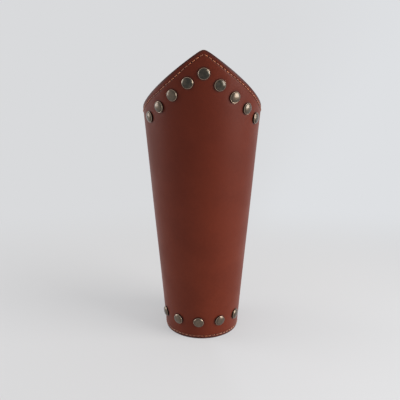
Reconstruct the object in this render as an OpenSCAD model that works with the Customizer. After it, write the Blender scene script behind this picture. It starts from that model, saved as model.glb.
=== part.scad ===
// Leather bracer: a cone-rolled forearm guard with a peaked elbow end, open down the back,
// lined, edged with stitches and domed rivets, and closed by three buckled straps.
// It stands on its wrist rim. The peak faces -Y and the back opening faces +Y.

/* [Shell] */
// Outer radius at the wrist rim
wrist_radius = 32.8; // [28:0.05:45]
// Outer radius at the height of the peak
peak_radius = 53.6; // [46:0.05:70]
// Height of the peak above the wrist rim
peak_height = 250.1; // [230:0.1:270]
// Turn of the peak from the front
peak_lean = 1.1; // [-2:0.1:2]
// Height that the rim settles to at the back
rear_height = 193; // [185:0.5:205]
// Fall of the rim for each radian turned from the peak
rim_fall = 41.2; // [30:0.1:45]
// Angle over which the tip of the peak is rounded
tip_round = 3.1; // [1:0.1:6]
// Height over which the falling rim eases into the level one
rim_ease = 10.7; // [4:0.1:12]
// Thickness of the outer leather
leather_t = 2.2; // [1.6:0.1:3]
// Thickness of the lining
lining_t = 1; // [0.6:0.1:1.4]
// How far the lining's rims stay back from the outer leather's
lining_inset = 0.4; // [0.2:0.1:1]
// Half the angle of the opening down the back
gap_half = 21; // [18:0.5:24]

/* [Stitching] */
// Distance from an edge to its line of stitches
seam_inset = 3.4; // [3:0.1:5]
// Drop from the tip of the rim to the seam under it
seam_tip_drop = 3.5; // [3:0.1:6]
// Angle over which the seam is rounded at its tip
seam_tip_round = 2; // [1:0.1:6]
// Distance from the wrist rim to its line of stitches
wrist_seam_inset = 2.6; // [2:0.1:4]
// Length of one stitch
stitch_length = 2.5; // [2:0.1:3]
// Distance from one stitch to the next
stitch_pitch = 3.5; // [3.2:0.1:5]
// Thickness of the thread
thread_d = 0.8; // [0.6:0.1:1]
// Clear width on each side of a strap where no stitch shows
strap_seam_gap = 2.2; // [1.5:0.1:4]

/* [Shell rivets] */
// Diameter of a rivet cap on the shell
cap_d = 9; // [8:0.1:12]
// Height of a rivet cap's dome
cap_h = 2; // [1.5:0.1:3]
// Diameter of a rivet's post
post_d = 2.8; // [2:0.1:3.2]
// Diameter of the washer inside the shell
washer_d = 7.5; // [6:0.1:9]
// Thickness of the washer
washer_t = 0.8; // [0.5:0.1:1.2]
// Number of rivets along the peak
peak_rivets = 9; // [3:2:9]
// Angle between the middle rivet of the peak row and the next
peak_rivet_pitch = 13.7; // [12:0.1:15]
// Growth of the angle from each gap of the peak row to the next one out
peak_rivet_spread = 0.8; // [0:0.1:1]
// Turn of the peak row from the front
peak_row_turn = 1.3; // [-2:0.1:2]
// Drop from the tip of the rim to the centre of the rivet under it
peak_rivet_drop = 16.9; // [14:0.1:20]
// Drop of the rivets' line from the rim where it is level
peak_rivet_rear_drop = 15; // [12:0.1:24]
// Angle over which the rivets' line is rounded at its tip
peak_row_round = 2; // [1:0.1:4]
// Number of rivets round the wrist
wrist_rivets = 5; // [3:2:7]
// Angle between two rivets of the wrist row
wrist_rivet_pitch = 32.1; // [25:0.1:34]
// Turn of the wrist row from the front
wrist_row_turn = -5; // [-6:0.1:6]
// Height of the wrist row
wrist_rivet_z = 16.8; // [12:0.1:20]

/* [Straps] */
// Heights of the three straps
strap_z = [38, 98, 158]; // [25:1:170]
// Width of a strap
strap_w = 16; // [14:0.5:18]
// Thickness of a strap
strap_t = 2; // [1.6:0.1:2.4]
// Distance from the edge of the opening to the first strap rivet
strap_rivet_in = 8; // [7:0.5:9]
// Distance between a strap's two rivets
strap_rivet_pitch = 9; // [8:0.5:10]
// Distance from the second rivet to the strap's fixed end
strap_end = 5.5; // [5:0.1:7]
// Length of the tongue past the chape's end
tip_past_chape = 8; // [4:0.5:10]
// Half the angle of the tongue's pointed tip
tip_half_angle = 50; // [40:1:60]
// Thickness of the chape's leather
chape_leather_t = 1.6; // [1.2:0.1:1.8]
// Length of chape that lies on the shell
chape_seat = 12; // [10:0.5:14]
// Length of chape between the edge of the opening and its fold round the buckle
chape_span = 1.5; // [1:0.5:4]
// Distance between the chape's two rivets, across the strap
chape_rivet_pitch = 8; // [7.5:0.5:8.5]
// Diameter of a small rivet cap
small_cap_d = 6.4; // [5:0.1:7]
// Height of a small rivet cap's dome
small_cap_h = 1.3; // [1:0.1:1.8]
// Thickness of a chape's flat rivet cap, which is sunk into the leather
sunk_cap_t = 0.8; // [0.5:0.1:1.2]

/* [Buckles] */
// Thickness of the buckle's wire
bar_d = 2.6; // [2:0.1:3]
// Distance between the heel bar and the nose bar
buckle_reach = 15; // [14.5:0.1:17]
// Width of the buckle's window beyond the strap's
window_spare = 1; // [0.6:0.1:2]
// Radius of the buckle's nose corners
nose_corner = 3; // [2:0.1:4]
// Thickness of the prong
prong_d = 1.9; // [1.5:0.1:2.2]
// Width of the prong's loop round the heel bar
prong_loop_w = 2.2; // [1.8:0.1:2.4]
// Thickness of the prong's loop
prong_loop_t = 1.05; // [0.8:0.05:1.3]
// Length of prong past the nose bar's middle
prong_overhang = 1.8; // [1.3:0.1:3]
// Distance between two holes in the tongue
hole_pitch = 7; // [6:0.5:9]
// Length by which the prong's hole is wider than the prong needs, along the tongue
hole_slot = 1.6; // [0.5:0.1:2]
// Distance from the heel bar at which the tongue has risen over the chape
rise_end = 5.6; // [5:0.1:6.5]
// Number of spare holes in the tongue
spare_holes = 3; // [1:1:3]

/* [Fits] */
// Clearance between leather pieces that lie on each other
soft_gap = 0.3; // [0.2:0.05:0.4]
// Clearance of the heel bar in its prong and its chape
pivot_gap = 0.15; // [0.1:0.01:0.2]
// Clearance of a rivet's post in its hole
post_gap = 0.1; // [0.05:0.01:0.2]

/* [Hidden] */
$fn = 64;
// Facets of the large curves
FINE = 360;
// Steps of the rim's outline on each side of the peak, and how far it runs past the opening
RIM_STEPS = 52;
RIM_OVERRUN = 2;
// Distance by which a cutter stands clear of the wall's faces
JACKET = 1.5;
// Length of cutters that pass clear through a wall
THROUGH = 20;
TAPER = (peak_radius - wrist_radius) / peak_height;
HALF_ANGLE = atan(TAPER);
WALL = leather_t + lining_t;
BAR_R = bar_d / 2;
PRONG_R = prong_d / 2;
WINDOW_W = strap_w + window_spare;
// Radii of the prong's loop and of the chape's fold round the heel bar
LOOP_R = BAR_R + pivot_gap + prong_loop_t;
FOLD_R = BAR_R + pivot_gap + chape_leather_t;
// Heights above the shell of the layers at a strap
STRAP_IN = soft_gap;
STRAP_MID = STRAP_IN + strap_t / 2;
STRAP_OUT = STRAP_IN + strap_t;
CHAPE_OUT = soft_gap + 2 * chape_leather_t;
TONGUE_IN = CHAPE_OUT + soft_gap;
TONGUE_MID = TONGUE_IN + strap_t / 2;
// The fold stands a little above the flat of the chape, and its sides draw in a little
FOLD_RISE = 0.06;
FOLD_DRAW = 0.1;
HEEL_UP = CHAPE_OUT - FOLD_R + FOLD_RISE;
NOSE_UP = STRAP_OUT + soft_gap + BAR_R;
// Root of the prong's arm in its loop, from the heel bar's axis: towards the nose and outwards
PRONG_ROOT = [1, 1.2];
// Small distance over which a curve's direction is measured
NUDGE = 0.05;
// How far a stitch's middle stands off the leather, which curves away from its ends
STITCH_LIFT = 0.03;
LEATHER = [0.36, 0.16, 0.12];
STRAP_LEATHER = [0.25, 0.12, 0.09];
LINING_LEATHER = [0.55, 0.38, 0.26];
THREAD = [0.68, 0.42, 0.26];
METAL = [0.42, 0.36, 0.28];
CLOSURES = ["wrist", "middle", "elbow"];
PIECES = [
    "strap", "strap_tongue", "strap_rivet_caps", "strap_rivet_washers", "chape",
    "chape_rivet_caps", "chape_rivet_washers", "buckle_frame", "buckle_prong",
];

// Outer radius of the shell at a height
function shell_r(z) = wrist_radius + TAPER * z;

// A rim line: it falls both ways from a rounded tip and eases into a level rear.
// turn is the angle from the front, in degrees.
function rim_line(turn, tip_z, rear_z, round_angle) =
    let (h = tip_z - rear_z)
    let (t = turn * PI / 180)
    let (a = round_angle * PI / 180)
    let (line = h - rim_ease * rim_ease / h - rim_fall * (sqrt(t * t + a * a) - a))
    rear_z + (line + sqrt(line * line + 4 * rim_ease * rim_ease)) / 2;

function rim_z(turn) = rim_line(turn - peak_lean, peak_height, rear_height, tip_round);

// The seam follows the rim inside it. Its turn is taken from the peak.
function seam_z(turn) =
    rim_line(turn, peak_height - seam_tip_drop, rear_height - seam_inset, seam_tip_round);

// Turn of a peak rivet, and its height under the rim
function peak_turn(i) =
    peak_row_turn + i * (peak_rivet_pitch + peak_rivet_spread * (abs(i) - 1) / 2);
function peak_rivet_z(i) =
    rim_line(
        peak_turn(i), peak_height - peak_rivet_drop,
        rear_height - peak_rivet_rear_drop, peak_row_round
    );

// Radius of the shell's curve under a strap
function seat_r(z) = shell_r(z) / cos(HALF_ANGLE);
function around(s, r) = s / r * 180 / PI;
function polar(r, angle) = [r * sin(angle), r * cos(angle)];
function edge_s(z) = seat_r(z) * gap_half * PI / 180;

// Places at a strap, as distances along the shell from the middle of the back
function heel_s(z) = -edge_s(z) + chape_span + FOLD_R;
function heel_r(z) = seat_r(z) + HEEL_UP;
function nose_r(z) = seat_r(z) + NOSE_UP;
function heel_angle(z) = around(heel_s(z), seat_r(z));
function nose_angle(z) =
    let (a = heel_r(z), b = nose_r(z))
    heel_angle(z) + acos((a * a + b * b - buckle_reach * buckle_reach) / (2 * a * b));
function nose_s(z) = seat_r(z) * nose_angle(z) * PI / 180;
function heel_at(z) = polar(heel_r(z), heel_angle(z));
function nose_at(z) = polar(nose_r(z), nose_angle(z));
function buckle_tilt(z) =
    let (d = nose_at(z) - heel_at(z))
    atan2(d[1], d[0]);
function tip_s(z) = -edge_s(z) - chape_seat - tip_past_chape;
function chape_rivet_s(z) = -edge_s(z) - chape_seat / 2;

// Middle of the tongue's thickness: from the level of the strap up to its own
function tongue_rise(s, z) =
    let (start = nose_s(z) - BAR_R - soft_gap)
    let (end = heel_s(z) + rise_end)
    let (u = min(1, max(0, (start - s) / (start - end))))
    STRAP_MID + (TONGUE_MID - STRAP_MID) * (1 - cos(180 * u)) / 2;
function tongue_point(s, z) = polar(seat_r(z) + tongue_rise(s, z), around(s, seat_r(z)));
function tongue_side(s, z, out) =
    let (ahead = tongue_point(s + NUDGE, z))
    let (behind = tongue_point(s - NUDGE, z))
    let (run = (ahead - behind) / norm(ahead - behind))
    tongue_point(s, z) + out * [-run[1], run[0]];

// Puts children at a place on the shell, with their +Z out of the leather
module at_shell(turn, z)
    rotate([0, 0, turn])
        translate([0, -shell_r(z), z])
            rotate([90 + HALF_ANGLE, 0, 0])
                children();

// Puts children in the frame of a strap: Z along the back of the cone, +Y out of it
module at_station(z)
    translate([0, 0, z + shell_r(z) * TAPER])
        rotate([-HALF_ANGLE, 0, 0])
            children();

// Within that frame: a place s along the strap, across up it, with +Z out of the leather
module on_strap(z, s, across, up)
    rotate([0, 0, -around(s, seat_r(z))])
        translate([0, seat_r(z) + up, across])
            rotate([-90, 0, 0])
                children();

// Within that frame: the buckle's own frame, x from heel to nose and y outwards
module at_buckle(z)
    translate([heel_at(z)[0], heel_at(z)[1], 0])
        rotate([0, 0, buckle_tilt(z)])
            children();

// A conical wall between two depths under the outer face, open down the back
module cone_wall(outside, inside, low, high)
    rotate([0, 0, gap_half + 90])
        rotate_extrude(angle = 360 - 2 * gap_half, $fn = FINE)
            polygon([
                [shell_r(low) - outside, low], [shell_r(high) - outside, high],
                [shell_r(high) - inside, high], [shell_r(low) - inside, low],
            ]);

// A point at a distance inside the shell's outer face, or outside it if that is negative
function wall_point(turn, z, inside) =
    let (r = shell_r(z) - inside)
    [r * sin(turn), -r * cos(turn), z];

// Everything above the rim, as a jacket round the wall: one radial cut for each step
module above_rim(drop) {
    end = 180 - gap_half + RIM_OVERRUN;
    turns = [for (i = [-RIM_STEPS : RIM_STEPS]) end * i / RIM_STEPS];
    n = len(turns);
    near = WALL + JACKET;
    top = peak_height + THROUGH;
    points = concat(
        [for (a = turns) wall_point(a, rim_z(a) - drop, near)],
        [for (a = turns) wall_point(a, rim_z(a) - drop, -JACKET)],
        [for (a = turns) wall_point(a, top, -JACKET)],
        [for (a = turns) wall_point(a, top, near)]
    );
    sides = [
        for (k = [0 : 3], i = [0 : n - 2], half = [0, 1])
            let (a = k * n + i, b = (k + 1) % 4 * n + i)
            half == 0 ? [a, b, b + 1] : [a, b + 1, a + 1]
    ];
    ends = [
        [0, 3 * n, 2 * n], [0, 2 * n, n],
        [n - 1, 2 * n - 1, 3 * n - 1], [n - 1, 3 * n - 1, 4 * n - 1],
    ];
    polyhedron(points, concat(sides, ends));
}

// The solid cone under the shell's face, used to seat pieces on it
module cone_core(inside)
    translate([0, 0, -THROUGH])
        cylinder(
            h = peak_height + 2 * THROUGH,
            r1 = shell_r(-THROUGH) - inside,
            r2 = shell_r(peak_height + THROUGH) - inside,
            $fn = FINE
        );

// The part of a ball that stands above its foot
module dome_top(d, h) {
    sphere_r = (d * d / 4 + h * h) / (2 * h);
    intersection() {
        translate([0, 0, h - sphere_r])
            sphere(r = sphere_r);
        cylinder(h = h, d = d);
    }
}

// A domed cap whose foot reaches below its seat, for the seat to be cut from it
module dome(d, h) {
    foot = 1;
    dome_top(d, h);
    translate([0, 0, -foot])
        cylinder(h = foot, d = d);
}

module rivet_hole()
    translate([0, 0, -THROUGH / 2])
        cylinder(h = THROUGH, d = post_d + 2 * post_gap);

module post(from, to)
    translate([0, 0, from])
        cylinder(h = to - from, d = post_d);

module washer()
    difference() {
        translate([0, 0, -WALL - washer_t])
            cylinder(h = 2 * washer_t, d = washer_d);
        rivet_hole();
    }

// Places of each row of rivets
module each_peak_rivet() {
    reach = (peak_rivets - 1) / 2;
    for (i = [-reach : reach])
        at_shell(peak_turn(i), peak_rivet_z(i))
            children();
}

module each_wrist_rivet() {
    reach = (wrist_rivets - 1) / 2;
    for (i = [-reach : reach])
        at_shell(wrist_row_turn + i * wrist_rivet_pitch, wrist_rivet_z)
            children();
}

module each_strap_rivet(z)
    for (k = [0, 1])
        on_strap(z, edge_s(z) + strap_rivet_in + k * strap_rivet_pitch, 0, 0)
            children();

module each_chape_rivet(z)
    for (side = [-1, 1])
        on_strap(z, chape_rivet_s(z), side * chape_rivet_pitch / 2, 0)
            children();

module all_rivet_holes() {
    each_peak_rivet() rivet_hole();
    each_wrist_rivet() rivet_hole();
    for (z = strap_z)
        at_station(z) {
            each_strap_rivet(z) rivet_hole();
            each_chape_rivet(z) rivet_hole();
        }
}

module outer_leather()
    color(LEATHER)
        difference() {
            cone_wall(0, leather_t, 0, peak_height + 1);
            above_rim(0);
            all_rivet_holes();
        }

module lining()
    color(LINING_LEATHER)
        difference() {
            cone_wall(leather_t, WALL, lining_inset, peak_height + 1);
            above_rim(lining_inset);
            all_rivet_holes();
        }

// One stitch lying on the shell, turned by lean from level
module stitch(turn, z, lean)
    at_shell(turn, z)
        translate([0, 0, thread_d / 2 + STITCH_LIFT])
            rotate([0, 0, lean])
                rotate([0, 90, 0])
                    cylinder(h = stitch_length, d = thread_d, center = true, $fn = 16);

// The turns of the stitches along the seam of the peak, one pitch apart on the leather
function seam_lean(turn) =
    atan2(
        seam_z(turn + NUDGE) - seam_z(turn - NUDGE),
        shell_r(seam_z(turn)) * 2 * NUDGE * PI / 180
    );
function seam_step(turn) =
    stitch_pitch * cos(seam_lean(turn)) / shell_r(seam_z(turn)) * 180 / PI;
function seam_turns(turn, end) =
    turn > end ? [] : concat([turn], seam_turns(turn + seam_step(turn), end));

module peak_stitching()
    color(THREAD) {
        end = 180 - gap_half - around(seam_inset, shell_r(rear_height));
        for (side = [-1, 1])
            for (turn = seam_turns(seam_step(0) / 2, end - side * peak_lean))
                stitch(peak_lean + side * turn, seam_z(turn), side * seam_lean(turn));
    }

module wrist_stitching()
    color(THREAD) {
        r = shell_r(wrist_seam_inset);
        end = 180 - gap_half - around(seam_inset, r);
        count = floor(2 * end / around(stitch_pitch, r));
        for (i = [0 : count])
            stitch(2 * end * i / count - end, wrist_seam_inset, 0);
    }

function clear_of_straps(z) =
    min([for (s = strap_z) abs(z - s)]) > strap_w / 2 + strap_seam_gap + stitch_length / 2;

module edge_stitching(side)
    color(THREAD) {
        low = wrist_seam_inset + stitch_pitch;
        high = rim_z(180 - gap_half) - seam_inset - stitch_pitch;
        count = floor((high - low) / stitch_pitch);
        for (i = [0 : count]) {
            z = low + (high - low) * i / count;
            turn = 180 - gap_half - around(seam_inset, shell_r(z));
            if (clear_of_straps(z))
                stitch(side * turn, z, 90);
        }
    }

module left_edge_stitching() edge_stitching(-1);

module right_edge_stitching() edge_stitching(1);

// Domed caps seated on the cone
module seated_domes()
    difference() {
        children();
        cone_core(0);
    }

module peak_rivet_caps()
    color(METAL) {
        seated_domes() each_peak_rivet() dome(cap_d, cap_h);
        each_peak_rivet() post(-WALL - washer_t, cap_h / 2);
    }

module wrist_rivet_caps()
    color(METAL) {
        seated_domes() each_wrist_rivet() dome(cap_d, cap_h);
        each_wrist_rivet() post(-WALL - washer_t, cap_h / 2);
    }

// Washers seated on the lining
module seated_washers()
    color(METAL)
        intersection() {
            children();
            cone_core(WALL);
        }

module peak_rivet_washers() seated_washers() each_peak_rivet() washer();

module wrist_rivet_washers() seated_washers() each_wrist_rivet() washer();

// A band of leather round the shell's curve, between two places and two heights
module band(z, from_s, to_s, low, high, width)
    rotate([0, 0, 90 - around(to_s, seat_r(z))])
        translate([0, 0, -width / 2])
            rotate_extrude(angle = around(to_s - from_s, seat_r(z)), $fn = FINE)
                translate([seat_r(z) + low, 0])
                    square([high - low, width]);

module strap(z)
    color(STRAP_LEATHER) {
        end = edge_s(z) + strap_rivet_in + strap_rivet_pitch + strap_end;
        at_station(z)
            difference() {
                band(z, nose_s(z) + soft_gap / 2, end, STRAP_IN, STRAP_OUT, strap_w);
                each_strap_rivet(z) rivet_hole();
            }
    }

// The prong's arm, from its loop to past the nose bar, on which it rests.
// swing turns it about the heel bar.
module prong_arm(z, spare, swing) {
    start = PRONG_ROOT;
    rest = [buckle_reach, BAR_R + pivot_gap + PRONG_R];
    dir = (rest - start) / norm(rest - start);
    tip = rest + prong_overhang * dir;
    at_buckle(z)
        rotate([0, 0, swing])
            translate([start[0], start[1], 0])
                rotate([0, 0, atan2(dir[1], dir[0])])
                    rotate([0, 90, 0])
                        cylinder(h = norm(tip - start), r = PRONG_R + spare, $fn = 32);
}

module strap_tongue(z)
    color(STRAP_LEATHER) {
        start = nose_s(z) - soft_gap / 2;
        end = tip_s(z);
        steps = 48;
        path = [for (i = [0 : steps]) start + (end - start) * i / steps];
        half = strap_t / 2;
        at_station(z)
            difference() {
                translate([0, 0, -strap_w / 2])
                    linear_extrude(strap_w)
                        polygon(concat(
                            [for (s = path) tongue_side(s, z, half)],
                            [for (i = [steps : -1 : 0]) tongue_side(path[i], z, -half)]
                        ));
                for (turn = [-1, 0, 1])
                    prong_arm(z, soft_gap, turn * hole_slot / (buckle_reach / 2) * 90 / PI);
                for (i = [1 : spare_holes])
                    on_strap(z, heel_s(z) + buckle_reach / 2 - i * hole_pitch, 0, 0)
                        cylinder(h = THROUGH, r = PRONG_R + soft_gap);
                tip_corners(z);
            }
    }

// What is cut from the tongue's end to leave a pointed tip
module tip_corners(z)
    for (side = [0, 1])
        on_strap(z, tip_s(z), 0, 0)
            mirror([0, side, 0])
                rotate([0, 0, tip_half_angle])
                    translate([-THROUGH, 0, 0])
                        cube([2 * THROUGH, THROUGH, THROUGH]);

module strap_rivet_caps(z)
    color(METAL)
        at_station(z)
            each_strap_rivet(z) {
                translate([0, 0, STRAP_OUT])
                    dome_top(small_cap_d, small_cap_h);
                post(-WALL - washer_t, STRAP_OUT + small_cap_h / 2);
            }

module strap_rivet_washers(z)
    seated_washers()
        at_station(z)
            each_strap_rivet(z)
                washer();

// Folded leather: a band on the shell that turns round the heel bar, slotted for the prong
module chape(z)
    color(STRAP_LEATHER)
        at_station(z)
            difference() {
                union() {
                    band(
                        z, -edge_s(z) - chape_seat, heel_s(z), soft_gap, CHAPE_OUT,
                        strap_w - soft_gap
                    );
                    at_buckle(z)
                        cylinder(h = strap_w - soft_gap - FOLD_DRAW, r = FOLD_R, center = true);
                }
                at_buckle(z)
                    cylinder(h = 2 * strap_w, r = BAR_R + pivot_gap, center = true);
                prong_slot(z);
                each_chape_rivet(z) {
                    rivet_hole();
                    translate([0, 0, CHAPE_OUT - sunk_cap_t])
                        cylinder(h = THROUGH, d = small_cap_d + 2 * post_gap);
                }
            }

module prong_slot(z)
    at_buckle(z)
        translate([-LOOP_R - pivot_gap, -2 * FOLD_R, -prong_loop_w / 2 - soft_gap])
            cube([THROUGH, 4 * FOLD_R, prong_loop_w + 2 * soft_gap]);

module chape_rivet_caps(z)
    color(METAL)
        at_station(z)
            each_chape_rivet(z)
                union() {
                    translate([0, 0, CHAPE_OUT - sunk_cap_t])
                        cylinder(h = sunk_cap_t, d = small_cap_d);
                    post(-WALL - washer_t, CHAPE_OUT - sunk_cap_t);
                }

module chape_rivet_washers(z)
    seated_washers()
        at_station(z)
            each_chape_rivet(z)
                washer();

// Round wire bent to a rectangle: heel bar, nose bar and two sides
module buckle_frame(z)
    color(METAL) {
        side = WINDOW_W / 2 + BAR_R;
        straight = buckle_reach - nose_corner;
        at_station(z)
            at_buckle(z)
                rotate([90, 0, 0]) {
                    wire(0, -side, side);
                    wire(buckle_reach, nose_corner - side, side - nose_corner);
                    for (y = [-side, side])
                        translate([0, y, 0]) {
                            sphere(r = BAR_R, $fn = 32);
                            rotate([0, 90, 0])
                                cylinder(h = straight, r = BAR_R, $fn = 32);
                        }
                    for (turn = [0, -90])
                        translate([straight, (turn < 0 ? -1 : 1) * (side - nose_corner), 0])
                            rotate([0, 0, turn])
                                rotate_extrude(angle = 90, $fn = 32)
                                    translate([nose_corner, 0])
                                        circle(r = BAR_R, $fn = 32);
                }
    }

// A straight length of the buckle's wire along y
module wire(x, from_y, to_y)
    translate([x, from_y, 0])
        rotate([-90, 0, 0])
            cylinder(h = to_y - from_y, r = BAR_R, $fn = 32);

module buckle_prong(z)
    color(METAL)
        at_station(z)
            difference() {
                union() {
                    at_buckle(z)
                        cylinder(h = prong_loop_w, r = LOOP_R, center = true, $fn = 32);
                    prong_arm(z, 0, 0);
                }
                at_buckle(z)
                    cylinder(h = THROUGH, r = BAR_R + pivot_gap, center = true);
            }

outer_leather();
lining();
peak_stitching();
wrist_stitching();
left_edge_stitching();
right_edge_stitching();
peak_rivet_caps();
peak_rivet_washers();
wrist_rivet_caps();
wrist_rivet_washers();
for (i = [0 : 2]) {
    name = CLOSURES[i];
    z = strap_z[i];
    strap(z);
    strap_tongue(z);
    strap_rivet_caps(z);
    strap_rivet_washers(z);
    chape(z);
    chape_rivet_caps(z);
    chape_rivet_washers(z);
    buckle_frame(z);
    buckle_prong(z);
}
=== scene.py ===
import math

import bpy
import numpy as np
from mathutils import Matrix, Vector


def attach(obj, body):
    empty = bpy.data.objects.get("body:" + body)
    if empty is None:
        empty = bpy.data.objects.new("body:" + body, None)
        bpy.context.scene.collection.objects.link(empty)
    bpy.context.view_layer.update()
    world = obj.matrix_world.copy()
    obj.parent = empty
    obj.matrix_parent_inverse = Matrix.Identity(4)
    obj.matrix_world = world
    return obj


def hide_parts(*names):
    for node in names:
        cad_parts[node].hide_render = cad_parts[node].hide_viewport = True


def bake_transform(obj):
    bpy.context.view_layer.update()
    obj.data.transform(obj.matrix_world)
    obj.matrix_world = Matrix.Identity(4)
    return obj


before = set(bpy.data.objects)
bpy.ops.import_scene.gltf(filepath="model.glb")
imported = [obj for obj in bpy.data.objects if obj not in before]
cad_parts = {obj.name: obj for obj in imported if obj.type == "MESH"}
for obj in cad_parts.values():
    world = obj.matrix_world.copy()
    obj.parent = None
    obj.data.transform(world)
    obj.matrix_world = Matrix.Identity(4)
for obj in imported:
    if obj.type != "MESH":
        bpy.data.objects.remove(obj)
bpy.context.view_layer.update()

# The shell: one cut of vegetable-tanned leather, dyed red-brown and rolled into a cone. Its edges are
# burnished, a groove is cut for the seam, and the leather is pressed down a little under each rivet.
MM = 0.001
WRIST_R = 32.8
PEAK_R = 53.6
PEAK_Z = 250.1
TAPER = (PEAK_R - WRIST_R) / PEAK_Z
HALF_ANGLE = math.atan(TAPER)
LEATHER_T = 2.2
HIDE_T = LEATHER_T - 0.35  # keeps its back clear of the lining
CUT_ROUNDING = 0.45
PEAK_LEAN = math.radians(1.1)
REAR_Z = 193.0
RIM_FALL = 41.2
RIM_EASE = 10.7
RIM_ROUNDING = 3.1  # degrees of turn, at the tip
RIM_UP = 0.4  # what the rounding of the cut edge would take off the outline
GAP_DEGREES = 21  # half of the opening down the back
OPENING = math.radians(180 - GAP_DEGREES)
SEAM_IN = 3.4
SEAM_TIP_IN = 3.5
SEAM_ROUNDING = 2
SEAM_STRAY = 1.1  # how much lower the hand-sewn seam runs on the left of the tip
STRAY_STRETCH = (-0.6, 0.3)  # about which turn, and how far both ways
SEAM_RISE = 0.7  # how much higher it runs on the right
RISE_STRETCH = (0.85, 0.32)
WRIST_SEAM_Z = 2.6
STITCH_PITCH = 3.5
SEAM_EDGE_GAPS = (2.8, 2.0, 2.8)  # the groove of each seam stays this far from a cut edge
GROOVE_DEPTH = 0.32
GROOVE_HALF = 0.6
PRESSED = 0.2  # under the caps, and along the burnished edges
WAVE = 0.12  # leather rolled by hand is never quite even


def shell_r(z):
    return WRIST_R + TAPER * z


def rim_line(turn, tip_z, rear_z, rounding):
    """Height of a line that falls both ways from a rounded tip and eases into a level rear."""
    h = tip_z - rear_z
    a = math.radians(rounding)
    line = h - RIM_EASE**2 / h - RIM_FALL * (np.sqrt(turn * turn + a * a) - a)
    return rear_z + (line + np.sqrt(line * line + 4 * RIM_EASE**2)) / 2


def rim_z(turn):
    return rim_line(turn - PEAK_LEAN, PEAK_Z, REAR_Z, RIM_ROUNDING)


def swell(turn, middle, reach):
    """1 at the middle of a stretch, fading out at its ends."""
    return np.exp(-(((turn - middle) / reach) ** 4))


def seam_z(turn):
    stray = SEAM_STRAY * swell(turn, *STRAY_STRETCH) - SEAM_RISE * swell(turn, *RISE_STRETCH)
    line = rim_line(turn - PEAK_LEAN, PEAK_Z - SEAM_TIP_IN, REAR_Z - SEAM_IN, SEAM_ROUNDING)
    return line - stray


def lean_of(line, turn):
    """Slope angle of a line on the shell."""
    nudge = 0.001
    rise = line(turn + nudge) - line(turn - nudge)
    return np.arctan2(rise, shell_r(line(turn)) * 2 * nudge)


# Both rows of rivets, each as its turn and height. The peak's row falls away from the tip as the rim
# does, and its caps stand a little further apart with each step.
CAP_ROW_DOWN = 16.9
CAP_ROW_REAR_DOWN = 15
CAP_ROW_TURN = 1.3
CAP_STEP = 13.7
CAP_STEP_MORE = 0.4
WRIST_ROW_Z = 16.8
WRIST_ROW_TURN = -5
WRIST_STEP = 32.1
PEAK_RIVETS = []
for i in range(-4, 5):
    turn = math.radians(CAP_ROW_TURN + i * (CAP_STEP + CAP_STEP_MORE * (abs(i) - 1)))
    z = rim_line(turn, PEAK_Z - CAP_ROW_DOWN, REAR_Z - CAP_ROW_REAR_DOWN, SEAM_ROUNDING)
    PEAK_RIVETS.append((turn, float(z)))
WRIST_RIVETS = [
    (math.radians(WRIST_ROW_TURN + WRIST_STEP * i), WRIST_ROW_Z) for i in range(-2, 3)
]

# Turns of the stitches along the seam of the peak, both ways from its tip, one pitch apart
SEAM_END = OPENING - SEAM_IN / shell_r(REAR_Z)
PEAK_STITCHES = []
turn = STITCH_PITCH / shell_r(seam_z(PEAK_LEAN)) / 2
while turn < SEAM_END + PEAK_LEAN:
    PEAK_STITCHES.append(float(turn))
    place = PEAK_LEAN + turn
    turn += STITCH_PITCH * math.cos(lean_of(seam_z, place)) / shell_r(seam_z(place))
wrist_end = OPENING - SEAM_IN / shell_r(WRIST_SEAM_Z)
wrist_count = int(2 * wrist_end * shell_r(WRIST_SEAM_Z) / STITCH_PITCH)
WRIST_STITCHES = [2 * wrist_end * i / wrist_count - wrist_end for i in range(wrist_count + 1)]
EDGE_LOW = WRIST_SEAM_Z + STITCH_PITCH
EDGE_HIGH = float(rim_z(OPENING)) - SEAM_IN - STITCH_PITCH
edge_count = int((EDGE_HIGH - EDGE_LOW) / STITCH_PITCH)


def ramp(*stops):
    """Values that run through the stops, each with the number of steps to the next."""
    values = []
    for (a, n), (b, _) in zip(stops[:-1], stops[1:]):
        values += [a + (b - a) * i / n for i in range(n)]
    return np.array(values + [stops[-1][0]])


def add_grid(name, columns, rows):
    """A flat grid, and the column and row value of each of its points."""
    bpy.ops.object.select_all(action="DESELECT")
    bpy.ops.mesh.primitive_grid_add(
        x_subdivisions=len(columns) - 1, y_subdivisions=len(rows) - 1, size=2
    )
    piece = bpy.context.object
    piece.name = piece.data.name = name
    flat = np.empty(len(piece.data.vertices) * 3)
    piece.data.vertices.foreach_get("co", flat)
    flat = flat.reshape(-1, 3)
    u = np.interp(flat[:, 0], np.linspace(-1, 1, len(columns)), columns)
    v = np.interp(flat[:, 1], np.linspace(-1, 1, len(rows)), rows)
    return piece, u, v


def place_points(piece, x, y, z):
    """Moves each point of a piece to its place, given in millimetres."""
    piece.data.vertices.foreach_set("co", (np.stack([x, y, z], axis=1) * MM).ravel())
    piece.data.update()


def mark(piece, name, values):
    """A value on each point, for the materials to read."""
    found = piece.data.attributes.get(name) or piece.data.attributes.new(name, "FLOAT", "POINT")
    found.data.foreach_set("value", np.asarray(values, np.float32))


def apply_modifier(piece, kind, **settings):
    bpy.context.view_layer.objects.active = piece
    modifier = piece.modifiers.new(kind.lower(), kind)
    for key, value in settings.items():
        setattr(modifier, key, value)
    bpy.ops.object.modifier_apply(modifier=modifier.name)


def smooth(piece, degrees=35):
    bpy.ops.object.select_all(action="DESELECT")
    piece.select_set(True)
    bpy.context.view_layer.objects.active = piece
    bpy.ops.object.shade_smooth_by_angle(angle=math.radians(degrees))


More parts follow.
